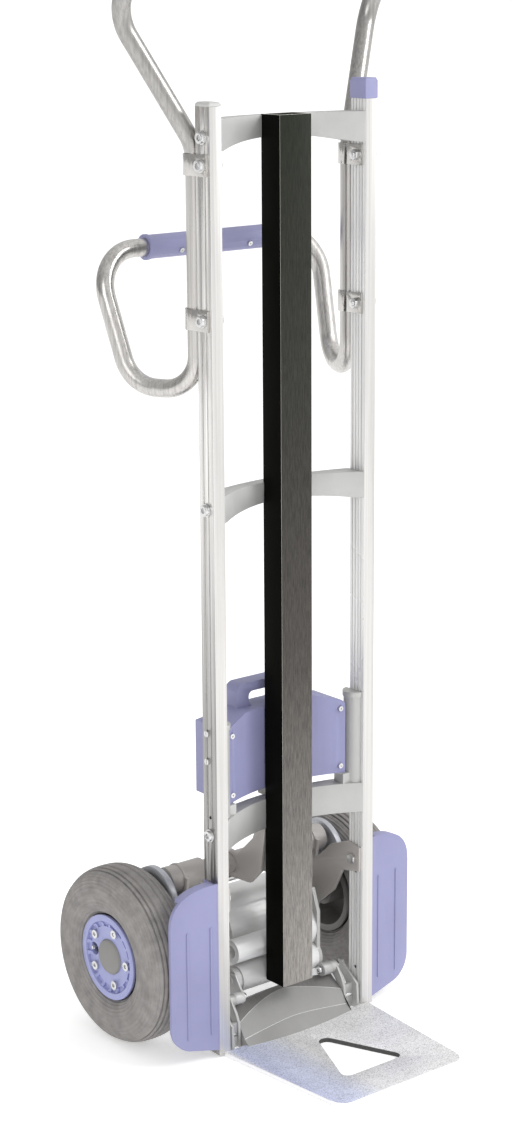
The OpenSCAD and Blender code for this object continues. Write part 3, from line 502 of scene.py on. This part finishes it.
def sweep(name, node, points, radii, outer, inner):
    """Bent tube along rounded corners, hollow, its wall closed at both ends."""
    route = [(points[0], (points[1] - points[0]).normalized())]
    for before, here, after, radius in zip(points, points[1:], points[2:], radii):
        d1, d2 = (here - before).normalized(), (after - here).normalized()
        bend = d1.angle(d2)
        centre = here + (d2 - d1).normalized() * radius / math.cos(bend / 2)
        spoke = (here - d1 * radius * math.tan(bend / 2) - centre).normalized()
        steps = max(FEWEST_STEPS, math.ceil(math.degrees(bend) / BEND_STEP))
        for k in range(steps + 1):
            t = bend * k / steps
            route.append((centre + radius * (spoke * math.cos(t) + d1 * math.sin(t)),
                          d1 * math.cos(t) - spoke * math.sin(t)))
    route.append((points[-1], (points[-1] - points[-2]).normalized()))
    bm = bmesh.new()
    rings = []
    for centre, along in route:
        u = ACROSS.cross(along).normalized()
        v = along.cross(u)
        turns = [math.tau * k / TUBE_SIDES for k in range(TUBE_SIDES)]
        rings.append([[bm.verts.new(centre + r * (u * math.cos(a) + v * math.sin(a)))
                       for a in turns] for r in (outer, inner)])
    for k in range(TUBE_SIDES):
        q = (k + 1) % TUBE_SIDES
        for (out0, in0), (out1, in1) in zip(rings, rings[1:]):
            bm.faces.new((out0[k], out0[q], out1[q], out1[k]))
            bm.faces.new((in0[k], in1[k], in1[q], in0[q]))
        for (out, inn), flip in ((rings[0], 1), (rings[-1], -1)):
            bm.faces.new((out[k], inn[k], inn[q], out[q])[::flip])
    bmesh.ops.recalc_face_normals(bm, faces=bm.faces)
    return settle(show(bm, name, node), node)


# the right handle's corners and bend radii in metres, as the part's source gives them
TUBE_R, TUBE_WALL = 0.0125, 0.002
ROUTE = [(0, .165, 1.123), (.196, .165, 1.123), (.177, .112, .946), (.1334, .0225, .946),
         (.1334, .0225, 1.268), (.212, .076, 1.430), (.2239, .0034, 1.590)]
BENDS = [.058, .052, .048, .070, .060]
for word, sign in (("left", -1), ("right", 1)):
    tube = sweep(f"{word}_handle_bend", f"{word}_handle_tube",
                 [Vector((sign * x, y, z)) for x, y, z in ROUTE], BENDS, TUBE_R,
                 TUBE_R - TUBE_WALL)
    tube.data.materials[0] = TUBE


TYRE_STEPS = 160


def revolve(name, node, profile, centre, outward):
    """Closed profile of (radius, offset outwards) turned about the wheel's axis."""
    bm = bmesh.new()
    rings = []
    for k in range(TYRE_STEPS):
        a = math.tau * k / TYRE_STEPS
        rings.append([bm.verts.new((centre.x + outward * w, centre.y + r * math.sin(a),
                                    centre.z + r * math.cos(a)))
                      for r, w in profile])
    for k in range(TYRE_STEPS):
        here, there = rings[k], rings[(k + 1) % TYRE_STEPS]
        for j in range(len(profile)):
            q = (j + 1) % len(profile)
            bm.faces.new((here[j], here[q], there[q], there[j]))
    bmesh.ops.recalc_face_normals(bm, faces=bm.faces)
    return settle(show(bm, name, node), node)


# the tyre's section, in metres and in degrees round it from the outer wall
BEAD_RADIUS = 0.058
SECTION = range(-84, 265)                   # closed by a flat seat on the rim
CROWN_AT, CROWN_HALF, CROWN_EVENNESS = 90, 42, 6
GROOVE_DEPTH, GROOVE_AT, GROOVE_RATE = 0.0032, 84, 30       # rate: waves in a full turn
RING_HEIGHT, RING_RATE = 0.0006, 40
SKIN = 0.0009                               # kept clear inside the CAD's outline
CROWN_POWER, WALL_POWER = 0.8, 0.7          # below 1, squarer than an ellipse


def tyre_profile(radius, half):
    """Section of the tyre: rounded ribs on the crown, fine raised rings on the walls."""
    rise = (radius - BEAD_RADIUS) / 2
    middle = radius - rise
    points = []
    for k in SECTION:
        a = math.radians(k)
        c, s = math.cos(a), math.sin(a)
        off_crown = abs(k - CROWN_AT)
        crown = 0.0
        if off_crown < CROWN_HALF:
            crown = max(0.0, 1 - (off_crown / CROWN_HALF) ** CROWN_EVENNESS)
        wave = max(0.0, math.cos(math.radians((k - GROOVE_AT) * GROOVE_RATE)))
        groove = GROOVE_DEPTH * crown * wave ** 2
        wall = 0.0
        if crown == 0:
            wall = RING_HEIGHT * max(0.0, math.cos(math.radians(k * RING_RATE)))
        cut = groove + SKIN - wall
        points.append((middle + (rise - cut) * math.copysign(abs(s) ** CROWN_POWER, s),
                       (half - cut) * math.copysign(abs(c) ** WALL_POWER, c)))
    return points


for word, sign in (("left", -1), ("right", 1)):
    low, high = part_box(f"{word}_tyre")
    hub = (low + high) / 2
    revolve(f"{word}_tyre_tread", f"{word}_tyre",
            tyre_profile((high.z - low.z) / 2, (high.x - low.x) / 2), hub, sign)

# every CAD node that no piece stands for is shown as it is
for name, node in NODES.items():
    if not node.hide_render:
        node.data.materials.clear()
        node.data.materials.append(MATERIALS[SLOT_OF[name]])


# ------------------------------------------------------------ floor and light

FLOOR_HALF, FLOOR_CELLS = 150.0, 8
FLOOR_GLOW = 0.36         # lifts the paper to white without washing out the shadow
LAMPS_AIM = Vector((0, 0, 0.7))
SKY_LEVEL = 0.80
SKY_TILT = (0.34, -0.20, 0.12)              # towards where the light is stronger


def plane(name, size):
    """Flat square sheet at z = 0, size being half its side."""
    bm = bmesh.new()
    bmesh.ops.create_grid(bm, x_segments=FLOOR_CELLS, y_segments=FLOOR_CELLS, size=size)
    mesh = bpy.data.meshes.new(name)
    bm.to_mesh(mesh)
    bm.free()
    sheet = bpy.data.objects.new(name, mesh)
    bpy.context.scene.collection.objects.link(sheet)
    return sheet


paper = grained("floor_paper", (0.93, 0.93, 0.93), 300.0, (0.8, 0.95), depth=0.0001,
                spread=0.01, wear=0.0)
glow = paper.node_tree.nodes["Principled BSDF"]
glow.inputs["Emission Color"].default_value = (*WHITE, 1.0)
glow.inputs["Emission Strength"].default_value = FLOOR_GLOW
floor = plane("floor", FLOOR_HALF)
floor.data.materials.append(paper)


def soft_light(name, place, size, power):
    """Round lamp, size metres across, turned towards the truck's middle."""
    data = bpy.data.lights.new(name, "AREA")
    data.shape = "DISK"
    data.size = size
    data.energy = power
    lamp = bpy.data.objects.new(name, data)
    bpy.context.scene.collection.objects.link(lamp)
    lamp.location = place
    aim = LAMPS_AIM - Vector(place)
    lamp.rotation_euler = aim.to_track_quat("-Z", "Y").to_euler()


soft_light("key", (2.2, -3.0, 3.4), 1.6, 58.0)
soft_light("fill", (-3.2, -1.8, 2.2), 2.2, 26.0)

world = bpy.data.worlds.new("studio")
world.use_nodes = True
sky = world.node_tree
direction = sky.nodes.new("ShaderNodeTexCoord").outputs["Generated"]
towards = sky.nodes.new("ShaderNodeVectorMath")
towards.operation = "DOT_PRODUCT"
towards.inputs[1].default_value = SKY_TILT
sky.links.new(direction, towards.inputs[0])
level_of = sky.nodes.new("ShaderNodeMath")
level_of.operation = "ADD"
level_of.inputs[1].default_value = SKY_LEVEL
sky.links.new(towards.outputs["Value"], level_of.inputs[0])
# the backdrop itself is plain white; only the light it casts is uneven
backdrop = sky.nodes.new("ShaderNodeMix")
backdrop.inputs["B"].default_value = 1.0
seen = sky.nodes.new("ShaderNodeLightPath").outputs["Is Camera Ray"]
sky.links.new(seen, backdrop.inputs["Factor"])
sky.links.new(level_of.outputs["Value"], backdrop.inputs["A"])
sky.links.new(backdrop.outputs["Result"],
              sky.nodes["Background"].inputs["Strength"])
sky.nodes["Background"].inputs["Color"].default_value = (*WHITE, 1.0)
bpy.context.scene.world = world
bpy.context.scene.view_settings.view_transform = "Standard"


# ------------------------------------------------------------------- camera

# solved from the photo: place in metres, angles in radians, focal length in millimetres
CAMERA_AT = Vector((-2.07525, -2.51011, 1.50475))
HEADING, DIP, ROLL = 0.678, 0.246, -0.007
FOCAL = 77.04

ahead = Vector((math.sin(HEADING) * math.cos(DIP), math.cos(HEADING) * math.cos(DIP),
                -math.sin(DIP)))
level = Vector((math.cos(HEADING), -math.sin(HEADING), 0))
upward = level.cross(ahead)
right = level * math.cos(ROLL) + upward * math.sin(ROLL)
up = upward * math.cos(ROLL) - level * math.sin(ROLL)
lens = bpy.data.cameras.new("camera")
lens.lens = FOCAL
camera = bpy.data.objects.new("camera", lens)
bpy.context.scene.collection.objects.link(camera)
turned = Matrix((right, up, -ahead)).transposed().to_4x4()
camera.matrix_world = Matrix.Translation(CAMERA_AT) @ turned
bpy.context.scene.camera = camera
